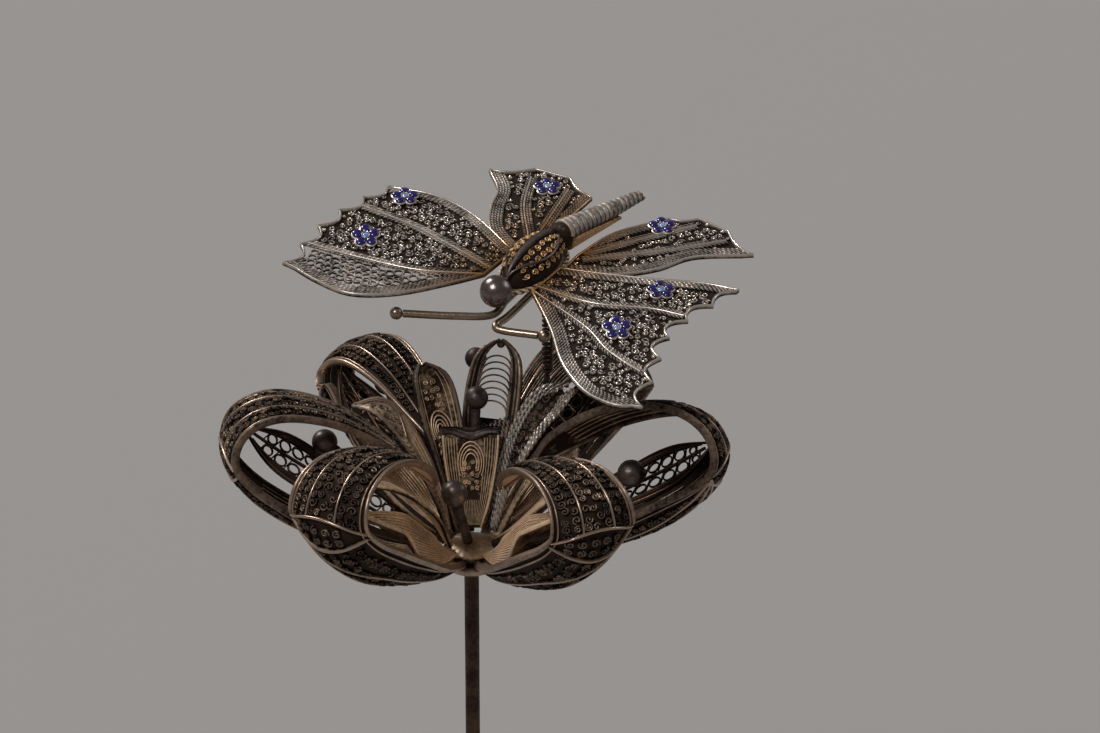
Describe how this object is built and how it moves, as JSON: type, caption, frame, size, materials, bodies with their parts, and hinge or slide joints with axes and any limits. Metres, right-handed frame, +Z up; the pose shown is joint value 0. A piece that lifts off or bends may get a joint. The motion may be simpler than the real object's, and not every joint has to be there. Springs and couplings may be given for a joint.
{
  "type": "decorative hair pin",
  "caption": "Silver filigree hair pin with a looped-petal flower on a single stem and an enamelled butterfly that trembles on a coil spring.",
  "frame": {"origin": "centre of the collar's flat underside, on the stem's axis, where the flower starts", "axes": "+Z up along the stem to the flower and butterfly, +X to the right and -Y towards the viewer of the front"},
  "size_m": [0.0509, 0.0464, 0.1451],
  "materials": {
    "dark_wire": "round wire with a dark brown tarnish and a soft sheen",
    "petal_silver": "oxidised silver filigree, light worn rims over dark scroll work",
    "gilt_silver": "gold-brown toned silver with fine lines and small holes",
    "wing_silver": "bright silver filigree, brown in the crevices",
    "ball_silver": "smooth dark silver balls and wires with a purplish sheen",
    "blue_enamel": "glossy deep blue enamel petals in silver rims round a pale blue centre"
  },
  "bodies": {
    "pin_and_flower": {"pin_stem": "dark_wire", "collar": "petal_silver", "hub": "gilt_silver", "outer_petal_right": "petal_silver", "outer_petal_back_right": "petal_silver", "outer_petal_back_left": "petal_silver", "outer_petal_left": "petal_silver", "outer_petal_front_left": "petal_silver", "outer_petal_front_right": "petal_silver", "petal_liner_right": "gilt_silver", "petal_liner_back_right": "gilt_silver", "petal_liner_back_left": "gilt_silver", "petal_liner_left": "gilt_silver", "petal_liner_front_left": "gilt_silver", "petal_liner_front_right": "gilt_silver", "inner_petal_broad": "gilt_silver", "inner_petal_tall": "gilt_silver", "inner_petal_cupped": "gilt_silver", "inner_petal_curled": "gilt_silver", "inner_petal_twist_edged": "gilt_silver", "inner_petal_right": "gilt_silver", "inner_petal_low": "gilt_silver", "stamen_front": "ball_silver", "stamen_middle": "ball_silver", "stamen_back": "ball_silver", "stamen_left": "ball_silver", "stamen_right": "ball_silver", "stamen_back_left": "ball_silver", "spring_tail": "dark_wire"},
    "spring_coil": {"spring_lower_coil": "dark_wire"},
    "butterfly": {"spring_upper_coil": "dark_wire", "thorax_base_plate": "gilt_silver", "thorax_dome": "gilt_silver", "head_ball": "ball_silver", "abdomen_core": "gilt_silver", "abdomen_coil": "wing_silver", "antenna_right": "ball_silver", "antenna_left": "ball_silver", "forewing_right": "wing_silver", "forewing_left": "wing_silver", "hindwing_right": "wing_silver", "hindwing_left": "wing_silver", "enamel_flower_forewing_right_front": "blue_enamel", "enamel_flower_forewing_right_rear": "blue_enamel", "enamel_flower_forewing_left_front": "blue_enamel", "enamel_flower_forewing_left_rear": "blue_enamel", "enamel_flower_hindwing_right": "blue_enamel", "enamel_flower_hindwing_left": "blue_enamel", "abdomen_tray": "gilt_silver"}
  },
  "joints": [
    {"name": "spring_sway", "type": "hinge", "parent": "pin_and_flower", "child": "spring_coil", "pos_m": [0.00737, 0.00704, 0.0176], "axis": [0, 1, 0], "range_deg": [-8, 8], "stiffness_Nm_per_rad": 0.01},
    {"name": "butterfly_nod", "type": "hinge", "parent": "spring_coil", "child": "butterfly", "pos_m": [0.00737, 0.00704, 0.02325], "axis": [1, 0, 0], "range_deg": [-8, 8], "stiffness_Nm_per_rad": 0.01}
  ]
}
